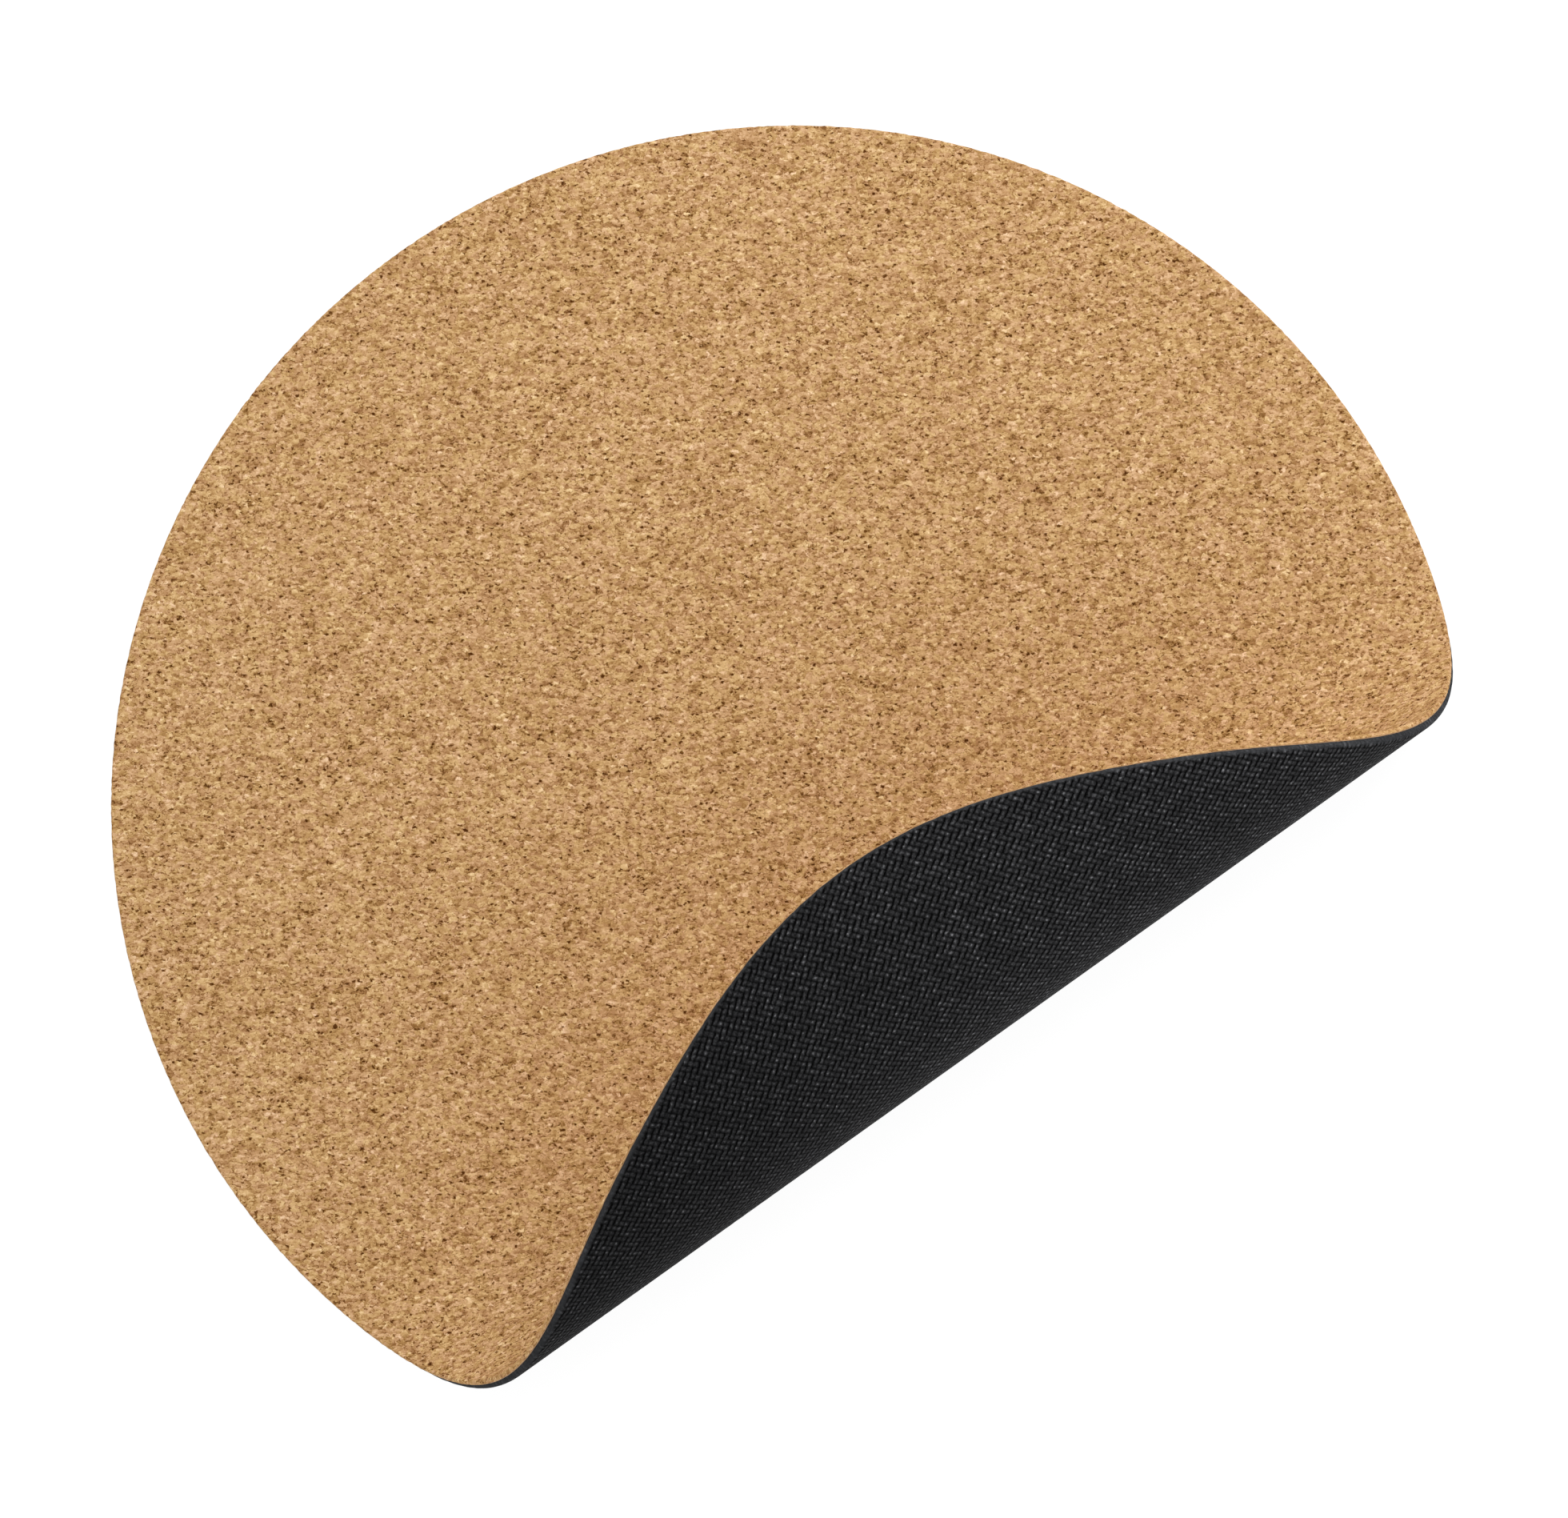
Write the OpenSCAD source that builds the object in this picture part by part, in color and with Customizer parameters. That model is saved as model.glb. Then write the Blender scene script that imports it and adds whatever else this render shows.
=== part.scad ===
// Round laminate mat: a cork facing bonded to a rubber base.
// It lies on the XY plane with the cork face up. The edge towards -Y is curled up and
// back over the mat. The origin is the centre of the disc, on the surface it lies on.

/* [Mat] */
// Diameter of the mat when it is flat
mat_d = 220; // [200:1:240]
// Thickness of the cork facing
cork_t = 0.8; // [0.5:0.1:1.5]
// Thickness of the adhesive film
film_t = 0.1; // [0.05:0.05:0.2]
// Thickness of the rubber base
rubber_t = 1.1; // [0.8:0.1:2]

/* [Curled edge] */
// Tightest radius of the curl, at the middle of the thickness
curl_r = 24; // [22:1:80]
// Distance from the centre where the bend begins
bend_start = 13; // [5:1:30]
// Distance from the centre where the bend is tightest
bend_full = 46.5; // [40:0.5:60]
// Distance from the centre where the bend begins to ease
ease_start = 65; // [61:1:90]
// Share of the bend that is gone at the rim
ease_share = 0.4; // [0:0.05:1]
// How far the middle of the flap is drawn back past its sides
draw = 3.3; // [0:0.1:5]
// Distance to each side over which the draw fades out
draw_half_w = 55; // [40:1:90]
// Distance from the centre where the draw begins
draw_start = 60; // [50:1:80]

/* [Fineness] */
// Rows of facets along the curl
rows = 46; // [24:1:60]
// Facets across each row
columns = 14; // [6:2:16]

/* [Hidden] */

mat_r = mat_d / 2;
mat_t = rubber_t + film_t + cork_t;
film_z = rubber_t;
cork_z = rubber_t + film_t;

// The rim is followed by angle from the tip of the flap to the end of the flat part.
tip_angle = 1;
flat_angle = acos(bend_start / mat_r);
row_angles = [for (i = [0:rows]) flat_angle + (tip_angle - flat_angle) * i / rows];

// Step at which the curl's profile is summed, and how far it is needed
profile_step = 0.5;
profile_count = ceil((mat_r + draw) / profile_step);

cork_colour = [0.76, 0.58, 0.38];
film_colour = [0.68, 0.53, 0.37];
rubber_colour = [0.13, 0.13, 0.13];

// A smooth step from 0 to 1, and the area under it up to t
function smooth(t) = let (c = min(max(t, 0), 1)) c * c * (3 - 2 * c);
function smooth_area(t) = let (c = min(max(t, 0), 1)) c * c * c * (1 - c / 2) + max(t - 1, 0);

// Slope of the mat, in degrees, at distance s along it from the centre
function slope(s) =
    let (
        rise = bend_full - bend_start,
        fall = mat_r - ease_start,
        bent = rise * smooth_area((s - bend_start) / rise),
        eased = ease_share * fall * smooth_area((s - ease_start) / fall)
    )
    (bent - eased) / curl_r * 180 / PI;

// The profile: how far the middle of the thickness reaches from the centre, and how high
profile = [
    for (
        i = 0, p = [0, mat_t / 2];
        i <= profile_count;
        a = slope((i + 0.5) * profile_step),
        p = p + profile_step * [cos(a), sin(a)],
        i = i + 1
    ) p
];
reach_at = [for (i = [0:profile_count]) [i * profile_step, profile[i][0]]];
height_at = [for (i = [0:profile_count]) [i * profile_step, profile[i][1]]];

// Extra length that the draw gives the flap at distance u to the side
function drawn(u, s) =
    abs(u) < draw_half_w
        ? draw * (1 + cos(180 * u / draw_half_w)) / 2 * smooth((s - draw_start) / (mat_r - draw_start))
        : 0;

// Where the point at u to the side, s along and h above the underside of the flat mat lies
function mat_point(u, s, h) =
    let (
        along = s + drawn(u, s),
        offset = h - mat_t / 2,
        a = slope(along)
    )
    [
        u,
        offset * sin(a) - lookup(along, reach_at),
        lookup(along, height_at) + offset * cos(a)
    ];

// Part of a layer that lies flat, from height bottom to height top
module flat_part(bottom, top) {
    translate([0, 0, bottom])
        linear_extrude(top - bottom)
            intersection() {
                circle(r = mat_r, $fn = 240);
                translate([-mat_r, -bend_start])
                    square([mat_d, mat_d]);
            }
}

// Part of a layer that is curled: a grid of points on each face, closed by a wall
module curled_part(bottom, top) {
    row = columns + 1;
    face = (rows + 1) * row;
    points = [
        for (h = [bottom, top], a = row_angles, j = [0:columns])
            mat_point(mat_r * sin(a) * (2 * j / columns - 1), mat_r * cos(a), h)
    ];
    cells = [for (i = [0:rows - 1], j = [0:columns - 1]) i * row + j];
    lower = [for (c = cells) each [[c, c + row + 1, c + 1], [c, c + row, c + row + 1]]];
    upper = [for (f = lower) [f[2] + face, f[1] + face, f[0] + face]];
    rim = concat(
        [for (j = [0:columns]) j],
        [for (i = [1:rows]) i * row + columns],
        [for (j = [columns - 1:-1:0]) rows * row + j],
        [for (i = [rows - 1:-1:1]) i * row]
    );
    wall = [
        for (k = [0:len(rim) - 1])
            let (a = rim[k], b = rim[(k + 1) % len(rim)])
            each [[a, b, b + face], [a, b + face, a + face]]
    ];
    polyhedron(points, concat(lower, upper, wall), convexity = 6);
}

module layer(bottom, top) {
    union() {
        flat_part(bottom, top);
        curled_part(bottom, top);
    }
}

module rubber_base() {
    color(rubber_colour)
        layer(0, film_z);
}

module adhesive_film() {
    color(film_colour)
        layer(film_z, cork_z);
}

module cork_sheet() {
    color(cork_colour)
        layer(cork_z, mat_t);
}

rubber_base();
adhesive_film();
cork_sheet();
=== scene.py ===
"""Looks of the round cork mat: cork facing, film and rubber base, with one edge curled back.

The three layers are built from the same curl as the CAD solids. Each one carries the
attribute "flat", its place on the flat sheet in millimetres, which all patterns follow.
The mat's lengths are in millimetres until mat_points turns them into metres. The floor, the
light and the camera are placed in metres.
"""

import math

import bpy
import numpy as np
from mathutils import Matrix, Vector


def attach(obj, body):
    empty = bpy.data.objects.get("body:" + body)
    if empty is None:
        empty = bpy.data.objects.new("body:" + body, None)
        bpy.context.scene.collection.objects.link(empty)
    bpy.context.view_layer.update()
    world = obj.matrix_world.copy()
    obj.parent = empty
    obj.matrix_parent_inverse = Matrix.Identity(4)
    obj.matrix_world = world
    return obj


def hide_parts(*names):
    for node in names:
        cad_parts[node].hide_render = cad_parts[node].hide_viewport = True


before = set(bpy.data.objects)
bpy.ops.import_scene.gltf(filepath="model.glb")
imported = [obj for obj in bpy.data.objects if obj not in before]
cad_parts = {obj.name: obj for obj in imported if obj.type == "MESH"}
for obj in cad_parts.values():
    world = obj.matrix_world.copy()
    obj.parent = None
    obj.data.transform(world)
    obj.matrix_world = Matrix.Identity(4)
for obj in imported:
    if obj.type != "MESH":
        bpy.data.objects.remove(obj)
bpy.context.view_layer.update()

MM = 0.001

# ---------------------------------------------------------------- shape of the mat
MAT_R = 110.0
CORK_T = 0.8
FILM_T = 0.1
RUBBER_T = 1.1
MAT_T = CORK_T + FILM_T + RUBBER_T
FILM_Z = RUBBER_T  # heights at which the film and the cork begin
CORK_Z = RUBBER_T + FILM_T

CURL_R = 24.0  # tightest bend
BEND_START = 13.0  # distances from the centre along the mat, towards the curl
BEND_FULL = 46.5
EASE_START = 65.0
EASE_SHARE = 0.4  # share of the bend that is lost at the edge
DRAW = 3.3  # extra length at the middle of the flap
DRAW_HALF_W = 55.0
DRAW_START = 60.0
PROFILE_STEP = 0.5

# ---------------------------------------------------------------- fineness of the meshes
RING_STEP = 1.3
RIM_BAND = 3.0
RIM_RINGS = (0.35, 0.6, 0.8, 0.92, 1.0)  # shares of the rim band
RIM_SECTORS = 1920
CENTRE_SECTORS = 15
ARC_LIMIT = 2.2
FULL_RINGS = 3  # rings inside the edge that keep all the rim's sectors
SHARP_ANGLE = math.radians(50)


def smooth(t):
    """Smooth step from 0 at 0 to 1 at 1."""
    c = np.clip(t, 0, 1)
    return c * c * (3 - 2 * c)


def smooth_area(t):
    """Area under smooth, from 0 to t."""
    c = np.clip(t, 0, 1)
    return c**3 * (1 - c / 2) + np.maximum(t - 1, 0)


def slope(s):
    """Slope of the mat, in radians, at distance s along it from the centre."""
    rise = BEND_FULL - BEND_START
    fall = MAT_R - EASE_START
    bent = rise * smooth_area((s - BEND_START) / rise)
    eased = EASE_SHARE * fall * smooth_area((s - EASE_START) / fall)
    return (bent - eased) / CURL_R


def curl_profile():
    """Distances along the mat, and how far its middle reaches and how high it is there."""
    count = math.ceil((MAT_R + DRAW) / PROFILE_STEP)
    mid = slope((np.arange(count) + 0.5) * PROFILE_STEP)
    reach = np.concatenate([[0], np.cumsum(np.cos(mid))]) * PROFILE_STEP
    height = np.concatenate([[0], np.cumsum(np.sin(mid))]) * PROFILE_STEP + MAT_T / 2
    return np.arange(count + 1) * PROFILE_STEP, reach, height


PROFILE = curl_profile()


def drawn(u, s):
    """Extra length that the flap has at its middle."""
    across = np.where(np.abs(u) < DRAW_HALF_W, (1 + np.cos(math.pi * u / DRAW_HALF_W)) / 2, 0)
    return DRAW * across * smooth((s - DRAW_START) / (MAT_R - DRAW_START))


def mat_points(flat):
    """Places, in metres, of points (x, y, height) of the flat mat, in millimetres."""
    u, s, h = flat[:, 0], -flat[:, 1], flat[:, 2]
    along = s + drawn(u, s)
    offset = h - MAT_T / 2
    angle = slope(along)
    at, reach, height = PROFILE
    y = np.where(along > 0, offset * np.sin(angle) - np.interp(along, at, reach), -along)
    z = np.interp(along, at, height) + offset * np.cos(angle)
    return np.stack([u, y, z], axis=1) * MM


def face_rings(outer_r):
    """(radius, sectors) of the rings of one face, from the centre out to outer_r."""
    inner = outer_r - RIM_BAND
    radii = list(np.linspace(0, inner, round(inner / RING_STEP) + 1)[1:])
    radii += [inner + RIM_BAND * t for t in RIM_RINGS]
    rings, sectors = [], CENTRE_SECTORS
    for r in radii:
        if 2 * math.pi * r / sectors > ARC_LIMIT:
            sectors *= 2
        rings.append([r, sectors])
    for place, ring in enumerate(reversed(rings)):
        ring[1] = max(ring[1], RIM_SECTORS >> max(place - FULL_RINGS, 0))
    return rings


def ragged(rng, amplitude, shortest, longest, waves=160):
    """A function of angle: small random waves along the rim, in millimetres."""
    length = np.exp(rng.uniform(math.log(shortest), math.log(longest), waves))
    turns = np.round(2 * math.pi * MAT_R / length)
    phase = rng.uniform(0, 2 * math.pi, waves)
    scale = amplitude * math.sqrt(2 / waves)
    return lambda a: scale * np.sin(np.outer(a, turns) + phase).sum(axis=1)


def ring_faces(a, b):
    """Faces between two rings of (first vertex, sectors); one may have twice the other's."""
    (i, n), (j, m) = a, b
    if n == m:
        k = np.arange(n)
        return np.stack([i + k, i + (k + 1) % n, j + (k + 1) % n, j + k], axis=1).tolist()
    if m == 2 * n:
        k = np.arange(n)
        columns = [i + k, i + (k + 1) % n, j + (2 * k + 2) % m, j + 2 * k + 1, j + 2 * k]
        return np.stack(columns, axis=1).tolist()
    return [face[::-1] for face in ring_faces(b, a)]


def layer_mesh(name, bottom, top, rim, visible, wave):
    """One layer of the mat as a closed mesh.

    rim lists (inset, height) from the lower face's edge to the upper face's edge.
    visible is "bottom", "top" or "rim", the part that gets most of the texture.
    wave gives the rim's raggedness at an angle.
    """
    lower = [(r, bottom, n, "bottom") for r, n in face_rings(MAT_R - rim[0][0])]
    edge = [(MAT_R - inset, h, RIM_SECTORS, "rim") for inset, h in rim[1:-1]]
    upper = [(r, top, n, "top") for r, n in face_rings(MAT_R - rim[-1][0])][::-1]
    rings = lower + edge + upper

    points, starts = [np.array([[0, 0, bottom]])], []
    total = 1
    for r, h, n, _ in rings:
        angle = 2 * math.pi * np.arange(n) / n
        radius = r + wave(angle) * smooth((r - (MAT_R - RIM_BAND)) / RIM_BAND)
        ring = np.stack([radius * np.sin(angle), radius * np.cos(angle), np.full(n, h)], axis=1)
        points.append(ring)
        starts.append((total, n))
        total += n
    points.append(np.array([[0, 0, top]]))
    flat = np.concatenate(points)

    n = starts[0][1]
    faces = [[0, starts[0][0] + k, starts[0][0] + (k + 1) % n] for k in range(n)]
    kinds = ["bottom"] * n
    for k in range(len(rings) - 1):
        found = [face[::-1] for face in ring_faces(starts[k], starts[k + 1])]
        kind = rings[k][3] if rings[k][3] == rings[k + 1][3] else "rim"
        faces += found
        kinds += [kind] * len(found)
    first, n = starts[-1]
    faces += [[total, first + (k + 1) % n, first + k] for k in range(n)]
    kinds += ["top"] * n

    mesh = bpy.data.meshes.new(name)
    mesh.from_pydata(mat_points(flat).tolist(), [], faces)
    mesh.shade_smooth()
    mesh.set_sharp_from_angle(angle=SHARP_ANGLE)
    place = mesh.attributes.new("flat", "FLOAT_VECTOR", "POINT")
    place.data.foreach_set("vector", flat.astype(np.float32).ravel())
    lay_out(mesh, flat, kinds, rings, starts, visible)
    mesh.validate()
    piece = bpy.data.objects.new(name, mesh)
    bpy.context.scene.collection.objects.link(piece)
    return piece


def lay_out(mesh, flat, kinds, rings, starts, visible):
    """Texture map: the seen face as a disc, the rim as a ring round it, the other face small."""
    face_share = 0.30 if visible == "rim" else 0.47
    rim_share = 0.496
    small_share = 0.055
    small_middle = 0.065
    hidden = "bottom" if visible == "top" else "top"
    outward = np.zeros(len(flat))
    rim_rows = [k for k, ring in enumerate(rings) if ring[3] == "rim"]
    edge_rows = [rim_rows[0] - 1, *rim_rows, rim_rows[-1] + 1]
    if hidden == "bottom":
        edge_rows.reverse()
    for place, k in enumerate(edge_rows):
        first, n = starts[k]
        outward[first : first + n] = place / (len(edge_rows) - 1)
    radius = np.hypot(flat[:, 0], flat[:, 1])
    unit = flat[:, :2] / np.maximum(radius, 1e-9)[:, None]
    share = np.minimum(radius / MAT_R, 1)
    wide = face_share * share + (rim_share - face_share) * outward
    main = 0.5 + unit * wide[:, None]
    small = small_middle + unit * (small_share * share)[:, None]

    corner_vertex = np.zeros(len(mesh.loops), np.int32)
    mesh.loops.foreach_get("vertex_index", corner_vertex)
    sides = np.zeros(len(mesh.polygons), np.int32)
    mesh.polygons.foreach_get("loop_total", sides)
    is_hidden = np.repeat(np.array([k == hidden for k in kinds]), sides)
    uv = np.where(is_hidden[:, None], small[corner_vertex], main[corner_vertex])
    layer = mesh.uv_layers.new(name="OFBake")
    layer.data.foreach_set("uv", uv.astype(np.float32).ravel())


# ---------------------------------------------------------------- node helper
class Shader:
    """Builds a node tree. An input may be a number, a colour, a vector or another socket."""

    def __init__(self, name):
        self.material = bpy.data.materials.new(name)
        self.material.use_nodes = True
        self.tree = self.material.node_tree
        self.tree.nodes.clear()

    def node(self, kind, inputs=(), **settings):
        made = self.tree.nodes.new("ShaderNode" + kind)
        for key, value in settings.items():
            setattr(made, key, value)
        for key, value in dict(inputs).items():
            self.feed(made.inputs[key], value)
        return made

    def feed(self, socket, value):
        """Gives a socket its value, or links it to another socket."""
        if isinstance(value, bpy.types.NodeSocket):
            self.tree.links.new(value, socket)
        else:
            socket.default_value = value

    def math(self, operation, *values):
        return self.node("Math", dict(enumerate(values)), operation=operation).outputs[0]

    def times(self, first, *others):
        """Product of all the values."""
        for other in others:
            first = self.math("MULTIPLY", first, other)
        return first

    def vector(self, operation, *values):
        return self.node("VectorMath", dict(enumerate(values)), operation=operation).outputs[0]

    def step(self, value, low, high, to_low=0.0, to_high=1.0):
        """A smooth step from to_low at low to to_high at high."""
        inputs = {0: value, 1: low, 2: high, 3: to_low, 4: to_high}
        return self.node("MapRange", inputs, interpolation_type="SMOOTHSTEP").outputs[0]

    def line(self, value, low, high, to_low=0.0, to_high=1.0):
        """A straight slope from to_low at low to to_high at high, level beyond them."""
        inputs = {0: value, 1: low, 2: high, 3: to_low, 4: to_high}
        return self.node("MapRange", inputs).outputs[0]

    def mix(self, share, a, b, blend="MIX"):
        """Colour b over colour a."""
        made = self.node("Mix", data_type="RGBA", blend_type=blend)
        for key, value in {"Factor": share, "A": a, "B": b}.items():
            self.feed(next(s for s in made.inputs if s.name == key and s.enabled), value)
        return next(s for s in made.outputs if s.enabled)

    def noise(self, vector, scale, detail=2.0, roughness=0.5, out="Fac"):
        inputs = {"Vector": vector, "Scale": scale, "Detail": detail, "Roughness": roughness}
        return self.node("TexNoise", inputs).outputs[out]

    def shaken(self, vector, place, scale, detail, roughness, reach):
        """The vector, moved by noise at a place, by up to half of reach on each axis."""
        cloud = self.noise(place, scale, detail, roughness, "Color")
        push = self.vector("SUBTRACT", cloud, (0.5, 0.5, 0.5))
        return self.vector("ADD", vector, self.vector("MULTIPLY", push, reach))

    def ramp(self, value, stops):
        made = self.node("ValToRGB", {"Fac": value})
        elements = made.color_ramp.elements
        while len(elements) < len(stops):
            elements.new(0.5)
        for element, (place, colour) in zip(elements, stops):
            element.position = place
            element.color = colour
        return made.outputs["Color"]

    def parts(self, vector):
        return self.node("SeparateXYZ", {0: vector}).outputs

    def flat(self):
        """Place on the flat sheet, in millimetres."""
        return self.node("Attribute", attribute_name="flat").outputs["Vector"]

    def radius(self, flat):
        """Distance from the middle of the flat sheet."""
        across = self.vector("MULTIPLY", flat, (1, 1, 0))
        return self.node("VectorMath", {0: across}, operation="LENGTH").outputs["Value"]

    def finish(self, values):
        """The material, with these values on its surface."""
        surface = self.node("BsdfPrincipled", values).outputs[0]
        self.node("OutputMaterial", {"Surface": surface})
        return self.material


def srgb(r, g, b, a=1.0):
    """A colour from 0-255 display values."""

    def linear(v):
        v /= 255
        return v / 12.92 if v <= 0.04045 else ((v + 0.055) / 1.055) ** 2.4

    return (linear(r), linear(g), linear(b), a)


# ---------------------------------------------------------------- cork
GRAIN_ANGLE = math.radians(36.5)
GRAIN_STRETCH = 0.7
CORK_TONES = [
    (0.00, srgb(80, 42, 8)),
    (0.15, srgb(111, 70, 28)),
    (0.34, srgb(142, 99, 54)),
    (0.48, srgb(169, 125, 79)),
    (0.62, srgb(191, 148, 100)),
    (0.76, srgb(211, 170, 122)),
    (0.90, srgb(232, 194, 149)),
    (1.00, srgb(248, 215, 173)),
]


def cork_material():
    """Pressed cork: three sizes of random granules, dark bark bits and cracks between grains."""
    s = Shader("agglomerated_cork")
    flat = s.flat()
    turning = {"Vector": flat, "Angle": GRAIN_ANGLE}
    turned = s.node("VectorRotate", turning, rotation_type="Z_AXIS").outputs[0]
    grain = s.vector("MULTIPLY", turned, (GRAIN_STRETCH, 1, 1))
    warped = s.shaken(grain, grain, 1.6, 3, 0.65, (0.9, 0.9, 0.9))
    warped = s.shaken(warped, grain, 4.5, 2, 0.6, (0.35, 0.35, 0.35))

    def layer(scale, shift):
        """Each grain's random values, distance from its middle, and place in it along y, in
        grains; that place is used to paint light and shade across each grain.
        """
        place = s.vector("ADD", warped, (shift, -shift, 0))
        cell = s.node("TexVoronoi", {"Vector": place, "Scale": scale}).outputs
        lit_offset = s.parts(s.vector("SUBTRACT", place, cell["Position"]))[1]
        return s.parts(cell["Color"]), cell["Distance"], s.math("MULTIPLY", lit_offset, scale)

    def spread(value, weight, base):
        """The base, moved by the value's distance from a half."""
        return s.math("MULTIPLY_ADD", s.math("SUBTRACT", value, 0.5), weight, base)

    flakes, _, flake_lit_offset = layer(2.45, 0)
    grains, _, grain_lit_offset = layer(1.25, 31)
    chunks = layer(0.6, 57)[0]
    fine = s.noise(warped, 3.4, 3, 0.7)
    patches = s.noise(grain, 0.05, 2, 0.5)

    # Tone: a random value for each granule of three sizes, with finer noise over them
    tone = spread(s.math("POWER", flakes[0], 0.5), 0.44, 0.570)
    tone = spread(s.math("POWER", grains[0], 0.5), 0.20, tone)
    tone = spread(chunks[0], 0.04, tone)
    tone = spread(fine, 0.70, tone)
    tone = spread(patches, 0.03, tone)
    # Painted light and shade: each grain is lighter on one side and darker on the other, as if
    # lit from that side
    tone = s.math("MULTIPLY_ADD", flake_lit_offset, 0.05, tone)
    tone = s.math("MULTIPLY_ADD", grain_lit_offset, 0.06, tone)

    # A few brown grains and cream flakes
    brown = s.math("GREATER_THAN", grains[2], 0.93)
    tone = s.math("MULTIPLY_ADD", brown, -0.16, tone)
    cream = s.math("GREATER_THAN", flakes[2], 0.93)
    tone = s.math("MULTIPLY_ADD", cream, 0.13, tone)

    # Dark bark bits, more of them in some places than in others
    thick = s.step(s.noise(grain, 0.8, 2, 0.6), 0.42, 0.66)
    bits, bit_at, _ = layer(1.9, 83)
    bit_is = s.math("GREATER_THAN", s.math("MULTIPLY_ADD", thick, 0.07, bits[2]), 0.94)
    bit = s.math("MULTIPLY", bit_is, s.step(bit_at, 0.26, 0.50, 1, 0))
    tone = s.math("MULTIPLY_ADD", bit, -0.56, tone)

    # Cracks along some of the edges between grains
    cell = s.node("TexVoronoi", {"Vector": warped, "Scale": 1.35}, feature="DISTANCE_TO_EDGE")
    edge = cell.outputs["Distance"]
    broken = s.step(s.noise(grain, 2.2, 2, 0.6), 0.50, 0.58)
    crack = s.math("MULTIPLY", s.step(edge, 0.02, 0.10, 1, 0), broken)
    tone = s.math("MULTIPLY_ADD", crack, -0.40, tone)
    colour = s.ramp(tone, CORK_TONES)

    # Some grains are yellower and some pinker, and the cut edge is one even tan
    tint = s.mix(s.step(grains[1], 0.15, 0.85), (1.0, 1.017, 0.90, 1), (1.01, 0.983, 1.02, 1))
    colour = s.mix(1.0, colour, tint, "MULTIPLY")
    cut = s.step(s.radius(flat), MAT_R - 0.3, MAT_R)
    colour = s.mix(s.math("MULTIPLY", cut, 0.2), colour, srgb(176, 132, 84))

    relief = s.math("SUBTRACT", s.math("MULTIPLY", fine, 0.8), bit)
    bump = s.node("Bump", {"Height": relief, "Distance": 0.08 * MM, "Strength": 0.5})
    return s.finish(
        {
            "Base Color": colour,
            "Roughness": s.line(fine, 0.2, 0.8, 0.86, 0.66),
            "Specular IOR Level": 0.07,
            "Normal": bump.outputs[0],
        }
    )


# ---------------------------------------------------------------- rubber
# The imprint is a two-over-two twill. These are its two thread directions on the flat sheet,
# per thread, as (across, towards the curl).
THREAD_DOWN = (0.5825, -0.645)
THREAD_UP = (0.7775, 0.515)
RIM_START = MAT_R - 0.75  # the imprint fades into the smooth cut rim between these radii
RIM_FULL = MAT_R - 0.3
RIM_SHARE = 0.72


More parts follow.
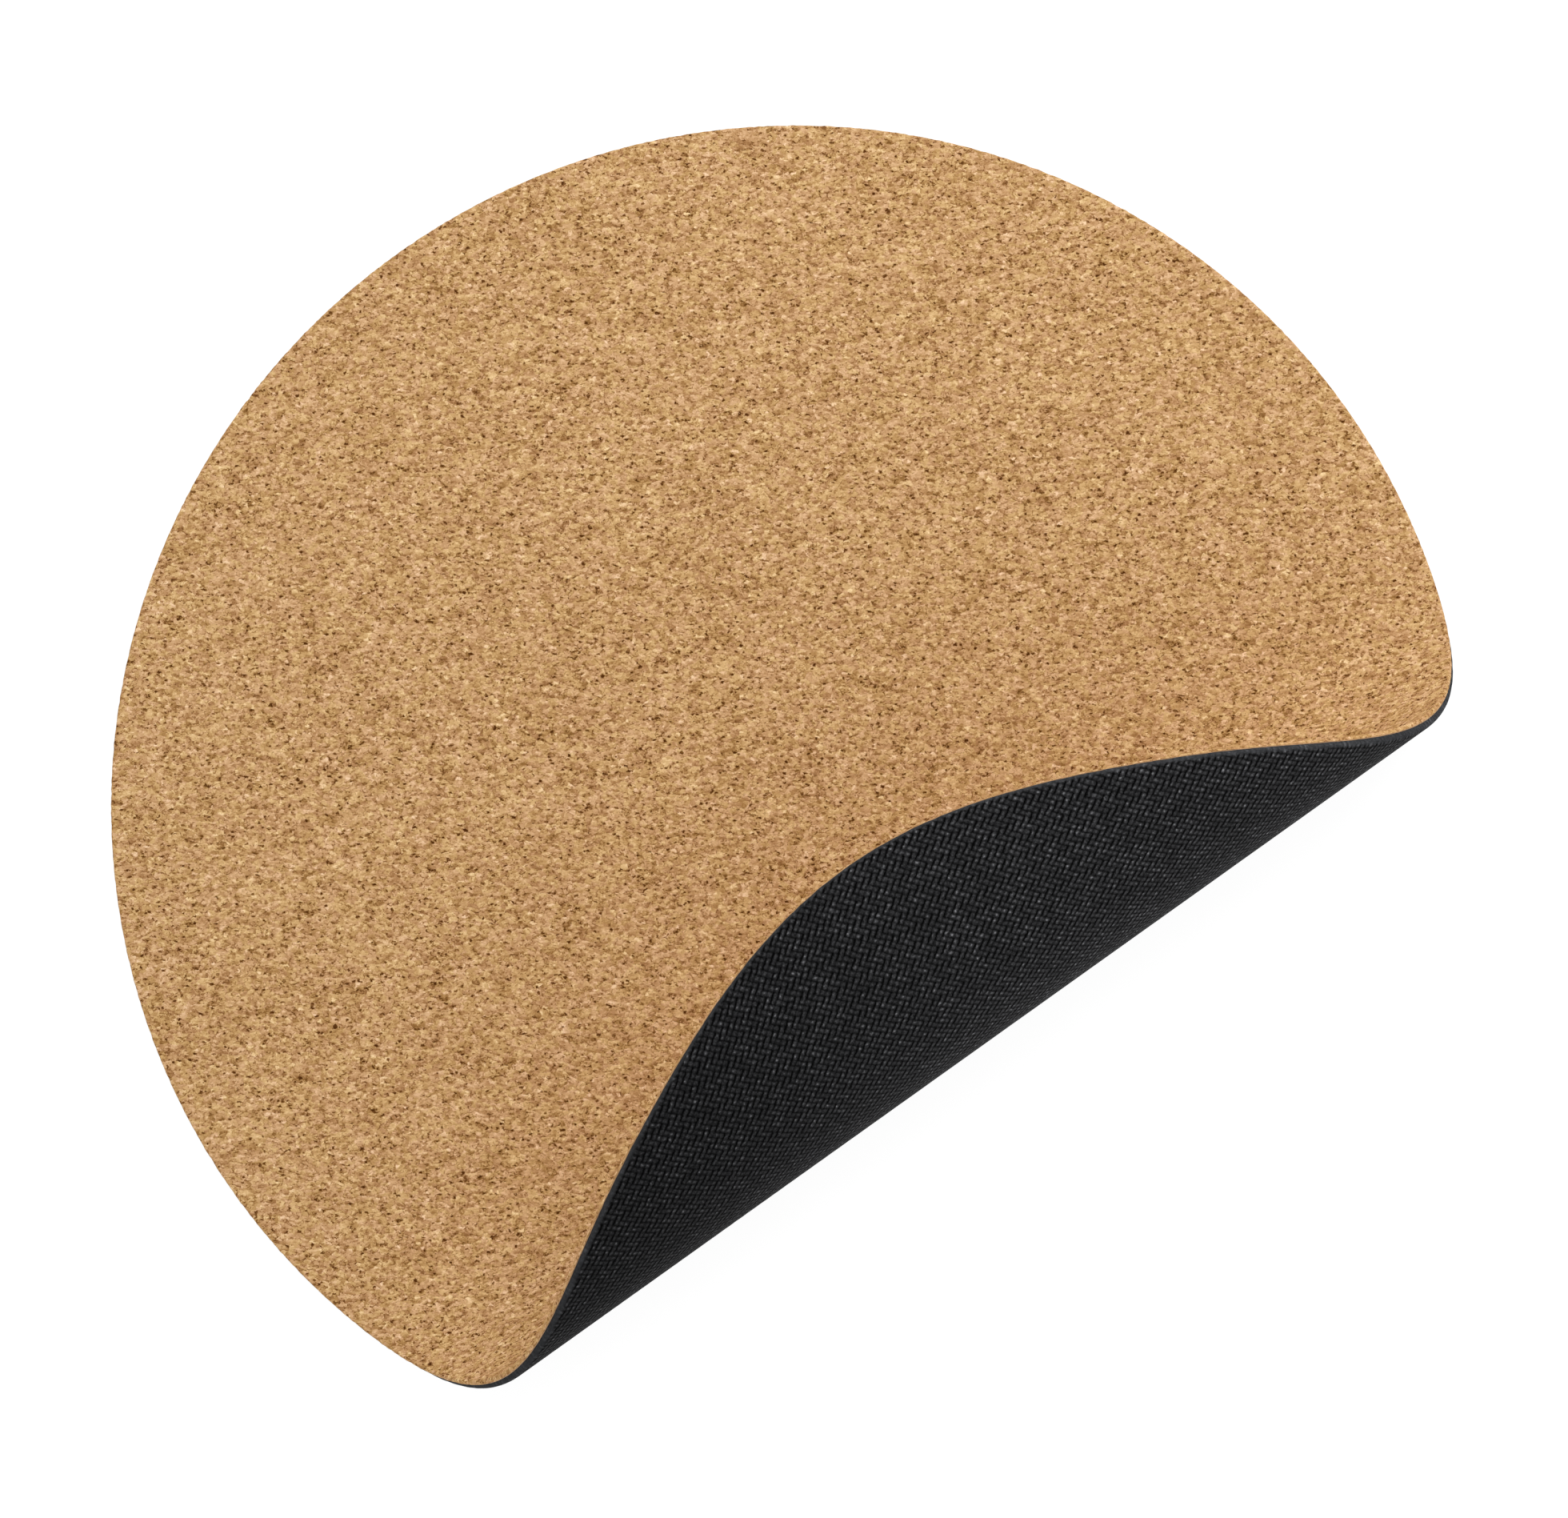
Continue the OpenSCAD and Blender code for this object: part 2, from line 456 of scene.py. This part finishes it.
def rubber_material():
    """Black rubber with the imprint of a twill, each float of which shows as two beads."""
    s = Shader("imprinted_rubber")
    flat = s.flat()
    x, y, _ = s.parts(s.shaken(flat, flat, 0.7, 3, 0.85, (0.56, 0.56, 0)))
    along = s.math("MULTIPLY", y, -1.0)
    (ax, ay), (bx, by) = THREAD_DOWN, THREAD_UP
    det = ax * by - ay * bx
    p = s.math("MULTIPLY_ADD", x, by / det, s.math("MULTIPLY", along, -bx / det))
    q = s.math("MULTIPLY_ADD", x, -ay / det, s.math("MULTIPLY", along, ax / det))
    cell_p, cell_q = s.math("FLOOR", p), s.math("FLOOR", q)
    in_p, in_q = s.math("FRACT", p), s.math("FRACT", q)
    order = s.math("FLOORED_MODULO", s.math("SUBTRACT", cell_q, cell_p), 4.0)
    back_order = s.math("SUBTRACT", 3.0, order)
    is_up = s.math("LESS_THAN", order, 1.5)

    def choose(up, down):
        """One value on the threads that run up, the other on those that run down."""
        return s.node("Mix", {"Factor": is_up, "A": down, "B": up}).outputs[0]

    def crown(value, power):
        """1 in the middle of 0..1 and 0 at its ends."""
        off = s.math("ABSOLUTE", s.math("MULTIPLY_ADD", value, 2.0, -1.0))
        return s.math("SUBTRACT", 1.0, s.math("POWER", off, power))

    def chance_of(*numbers):
        """A random value that stays the same for the same numbers."""
        place = s.node("CombineXYZ", dict(enumerate(numbers))).outputs[0]
        return s.node("TexWhiteNoise", {"Vector": place}).outputs["Value"]

    # Place within one float, 0 to 1 along it and 0 to 1 across it
    length_up = s.math("MULTIPLY", s.math("ADD", order, in_q), 0.5)
    length_down = s.math("MULTIPLY", s.math("ADD", back_order, in_p), 0.5)
    length = choose(length_up, length_down)
    width = choose(in_p, s.math("SUBTRACT", 1.0, in_q))
    two_beads = s.math("MULTIPLY", length, 2.0)

    # Random values of each float and each bead, from the float's first cell
    float_p = choose(cell_p, s.math("SUBTRACT", cell_p, back_order))
    float_q = choose(s.math("SUBTRACT", cell_q, order), s.math("ADD", cell_q, 0.5))
    chance = chance_of(float_p, float_q)
    bead_chance = chance_of(float_p, float_q, s.math("FLOOR", two_beads))

    # Height of the ribs: a groove on one side only, so that neighbouring floats chain up; the
    # tone below paints that groove dark as shade
    bead = crown(s.math("FRACT", two_beads), 2.0)
    ends = s.math("MULTIPLY_ADD", crown(length, 6.0), 0.3, 0.7)
    rise = s.step(width, choose(0.04, -0.19), choose(0.50, 0.42))
    fall = s.step(width, 0.6, 1.0, 1.0, 0.5)
    beading = s.math("MULTIPLY_ADD", bead, choose(0.36, 0.5), choose(0.66, 0.45))
    rib = s.times(rise, fall, ends, beading)
    band = s.step(s.radius(flat), RIM_START, RIM_FULL, 0.0, RIM_SHARE)
    woven = s.math("SUBTRACT", 1.0, band)
    level = s.math("MULTIPLY_ADD", band, 0.62, s.math("MULTIPLY", rib, woven))

    rough = s.noise(flat, 2.2, 1, 0.5)
    speck = s.noise(flat, 3.6, 0, 0.5)
    relief = s.math("MULTIPLY_ADD", s.math("SUBTRACT", rough, 0.5), 0.3, level)
    bump = s.node("Bump", {"Height": relief, "Distance": 0.22 * MM, "Strength": 0.9})

    # Tone: painted shade in the grooves with lighter crests, painted glints on a few bead tops,
    # and painted light that falls off from +X to the darker -X end
    crest = s.math("POWER", s.math("MAXIMUM", level, 0.0), 1.7)
    # Painted highlights: small glints on the tops of a few beads
    peak = s.math("MULTIPLY", bead, crown(width, 2.0))
    glint = s.times(
        s.math("POWER", peak, 8.0),
        s.math("POWER", bead_chance, 4.0),
        s.line(rough, 0.40, 0.65, 0.2, 1.5),
        woven,
    )
    # Painted shade and light: the grooves are dark and the crests lighter, as shade and light on
    # the relief would make them
    tone = s.times(
        s.math("MULTIPLY_ADD", crest, 0.039, 0.0006),
        s.line(rough, 0.35, 0.65, 0.7, 1.4),
        s.line(speck, 0.30, 0.70, 0.65, 1.35),
        s.line(chance, 0.0, 1.0, 0.9, 1.1),
        s.line(bead_chance, 0.0, 1.0, 0.85, 1.15),
    )
    # The painted glints are added to the tone
    tone = s.math("MULTIPLY_ADD", glint, 0.13, tone)
    # Painted shade and light: darker towards -X and a little lighter towards +X, as a light from
    # +X would make it
    tone = s.math("MULTIPLY", tone, s.step(x, -75.0, 30.0, 0.55, 1.1))
    # Painted sheen: the smooth rim band is lighter and bluer, as if its rounded edge reflects
    # the pale floor
    tone = s.math("MULTIPLY_ADD", band, 0.026, tone)
    green = s.math("MULTIPLY", tone, s.math("MULTIPLY_ADD", band, 0.03, 1.0))
    blue = s.math("MULTIPLY", tone, s.math("MULTIPLY_ADD", band, 0.07, 1.05))
    colour = s.node("CombineColor", {0: tone, 1: green, 2: blue}).outputs[0]
    gloss = s.line(rough, 0.35, 0.65, 0.80, 0.65)
    gloss = s.math("MAXIMUM", gloss, s.math("SUBTRACT", 1.0, crest))
    return s.finish(
        {
            "Base Color": colour,
            "Roughness": gloss,
            "Specular IOR Level": 0.05,
            "Normal": bump.outputs[0],
        }
    )


def film_material():
    """Dried adhesive, streaky and a little shiny."""
    s = Shader("amber_film")
    streak = s.noise(s.flat(), 0.9, 3, 0.6)
    colour = s.ramp(streak, [(0.3, srgb(150, 112, 74)), (0.7, srgb(194, 152, 108))])
    bump = s.node("Bump", {"Height": streak, "Distance": 0.05 * MM, "Strength": 0.4})
    return s.finish(
        {
            "Base Color": colour,
            "Roughness": s.line(streak, 0.3, 0.7, 0.35, 0.55),
            "Normal": bump.outputs[0],
        }
    )


# ---------------------------------------------------------------- the three layers
def quarter(width, height, count):
    """Points of a quarter ellipse, from the face inwards to the wall, as (inset, height)."""
    angle = np.linspace(0, math.pi / 2, count)
    return [(width * (1 - math.sin(a)), height * (1 - math.cos(a))) for a in angle]


RUBBER_INSET = 0.2
rng = np.random.default_rng(7)

rubber_bottom = [(inset + RUBBER_INSET, rise) for inset, rise in quarter(0.8, 0.45, 7)]
rubber_rim = rubber_bottom + [(RUBBER_INSET, 0.8), (RUBBER_INSET, FILM_Z)]
rubber_wave = ragged(rng, 0.015, 2, 12)
rubber = layer_mesh("rubber_backing", 0.0, FILM_Z, rubber_rim, "bottom", rubber_wave)

film_rim = [(0.18, FILM_Z), (0.15, FILM_Z + FILM_T / 2), (0.12, CORK_Z)]
film_wave = ragged(rng, 0.02, 1.2, 6)
film = layer_mesh("bond_film", FILM_Z, CORK_Z, film_rim, "rim", film_wave)

cork_top = [(inset, MAT_T - drop) for inset, drop in quarter(0.35, 0.3, 5)][::-1]
cork_rim = [(0.06, CORK_Z), (0.0, CORK_Z + 0.15), (0.0, CORK_Z + 0.4)] + cork_top
cork_wave = ragged(rng, 0.022, 1.2, 6)
cork = layer_mesh("cork_facing", CORK_Z, MAT_T, cork_rim, "top", cork_wave)

LAYERS = (
    (rubber, "rubber_base", "rubber", rubber_material(), []),
    (film, "adhesive_film", "adhesive", film_material(), ["rubber_backing"]),
    (cork, "cork_sheet", "cork", cork_material(), ["bond_film"]),
)
for piece, node, slot, material, under in LAYERS:
    piece.data.materials.append(material)
    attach(piece, "root")
    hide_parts(node)


# ---------------------------------------------------------------- floor, light, camera
FLOOR_HALF = 6.0
FLOOR_DROP = 0.0001
CAMERA_NEAR, CAMERA_FAR = 0.01, 50


def add_floor():
    """A plain floor that glows a little, so that it stays pale beside the curl."""
    mesh = bpy.data.meshes.new("floor")
    signs = ((-1, -1), (1, -1), (1, 1), (-1, 1))
    corners = [(i * FLOOR_HALF, j * FLOOR_HALF, 0) for i, j in signs]
    mesh.from_pydata(corners, [], [(0, 1, 2, 3)])
    material = Shader("floor_white").finish(
        {
            "Base Color": (0.20, 0.20, 0.20, 1),
            "Roughness": 0.9,
            "Specular IOR Level": 0.0,
            "Emission Color": (1, 1, 1, 1),
            "Emission Strength": 0.91,
        }
    )
    mesh.materials.append(material)
    floor = bpy.data.objects.new("floor", mesh)
    floor.location.z = -FLOOR_DROP
    bpy.context.scene.collection.objects.link(floor)


def add_world(zenith, horizon):
    """A white surround, brighter towards the horizon."""
    world = bpy.data.worlds.new("studio")
    world.use_nodes = True
    tree = world.node_tree
    tree.nodes.clear()
    place = tree.nodes.new("ShaderNodeTexCoord")
    parts = tree.nodes.new("ShaderNodeSeparateXYZ")
    level = tree.nodes.new("ShaderNodeMapRange")
    back = tree.nodes.new("ShaderNodeBackground")
    out = tree.nodes.new("ShaderNodeOutputWorld")
    level.inputs["To Min"].default_value = horizon
    level.inputs["To Max"].default_value = zenith
    tree.links.new(place.outputs["Generated"], parts.inputs[0])
    tree.links.new(parts.outputs["Z"], level.inputs["Value"])
    tree.links.new(level.outputs[0], back.inputs["Strength"])
    tree.links.new(back.outputs[0], out.inputs["Surface"])
    bpy.context.scene.world = world


def add_softbox(name, place, size, power):
    """A square light that faces the middle of the mat."""
    light = bpy.data.lights.new(name, "AREA")
    light.shape = "SQUARE"
    light.size = size
    light.energy = power
    box = bpy.data.objects.new(name, light)
    box.location = place
    box.rotation_mode = "QUATERNION"
    box.rotation_quaternion = (-Vector(place)).to_track_quat("-Z", "Y")
    bpy.context.scene.collection.objects.link(box)


SENSOR = 36.0
PICTURE_W = 1960  # pixels
FOCAL_PX = 8488.64
DISTANCE = 1.1
ELEVATION, AZIMUTH, ROLL = (math.radians(a) for a in (81.0449, -6.5159, -35.6105))
TARGET = Vector((2.9657, 4.655, 0)) * MM


def add_camera():
    """A long lens, almost straight above the mat and turned round its own axis."""
    data = bpy.data.cameras.new("camera")
    data.sensor_width = SENSOR
    data.lens = FOCAL_PX / PICTURE_W * SENSOR
    data.clip_start, data.clip_end = CAMERA_NEAR, CAMERA_FAR
    camera = bpy.data.objects.new("camera", data)
    away = math.cos(ELEVATION)
    back = Vector((math.sin(AZIMUTH) * away, -math.cos(AZIMUTH) * away, math.sin(ELEVATION)))
    right = (-back).cross(Vector((0, 1, 0))).normalized()
    up = back.cross(right)
    x_axis = math.cos(ROLL) * right + math.sin(ROLL) * up
    y_axis = -math.sin(ROLL) * right + math.cos(ROLL) * up
    turn = Matrix((x_axis, y_axis, back)).transposed()
    camera.matrix_world = Matrix.Translation(TARGET + back * DISTANCE) @ turn.to_4x4()
    bpy.context.scene.collection.objects.link(camera)
    bpy.context.scene.camera = camera


add_floor()
add_world(zenith=0.72, horizon=1.20)
add_softbox("key", (0.55, 0.2, 0.75), 0.5, 4.0)
add_camera()
bpy.context.scene.view_settings.view_transform = "Standard"
